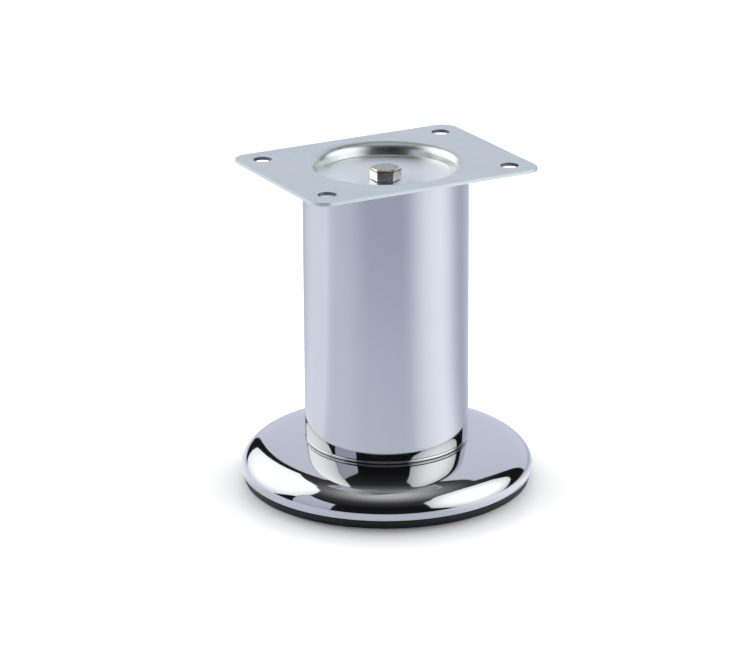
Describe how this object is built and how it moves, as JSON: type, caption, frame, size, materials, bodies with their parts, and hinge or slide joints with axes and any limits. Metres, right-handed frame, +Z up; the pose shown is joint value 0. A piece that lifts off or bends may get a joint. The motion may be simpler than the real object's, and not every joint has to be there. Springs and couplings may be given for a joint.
{
  "type": "furniture leveling foot",
  "caption": "Short adjustable furniture leg: pressed mounting plate with screw holes, chrome tube with an end ring, and a wide domed chrome foot on a threaded spindle.",
  "frame": {"origin": "centre of the floor ring's underside, on the floor and on the tube's axis", "axes": "+Z up along the tube's axis to the mounting plate, X along the plate's long side"},
  "size_m": [0.1074, 0.1074, 0.12],
  "materials": {
    "zinc_plate": "bright zinc plate, satin",
    "yellow_zinc": "zinc plate with a yellow tint",
    "polished_chrome": "polished chrome",
    "plain_steel": "bright steel",
    "black_plastic": "moulded, matt"
  },
  "bodies": {
    "glide": {"floor_ring": "black_plastic"},
    "foot": {"foot_shell": "polished_chrome", "spindle": "plain_steel", "lock_nut": "plain_steel", "backing_washer": "plain_steel"},
    "leg": {"mounting_plate": "zinc_plate", "tie_bolt": "yellow_zinc", "tie_nut": "plain_steel", "leg_tube": "polished_chrome", "end_collar": "polished_chrome", "end_insert": "black_plastic", "spindle_nut": "plain_steel"}
  },
  "joints": [
    {"name": "foot_turn", "type": "hinge", "parent": "glide", "child": "foot", "pos_m": [0, 0, 0], "axis": [0, 0, 1], "range_deg": [-3600, 0]},
    {"name": "leg_lift", "type": "slide", "parent": "glide", "child": "leg", "axis": [0, 0, 1], "range_m": [0, 0.015]}
  ],
  "couplings": [
    {"joint": "leg_lift", "follows": "foot_turn", "m_per_rad": -0.00023873}
  ]
}
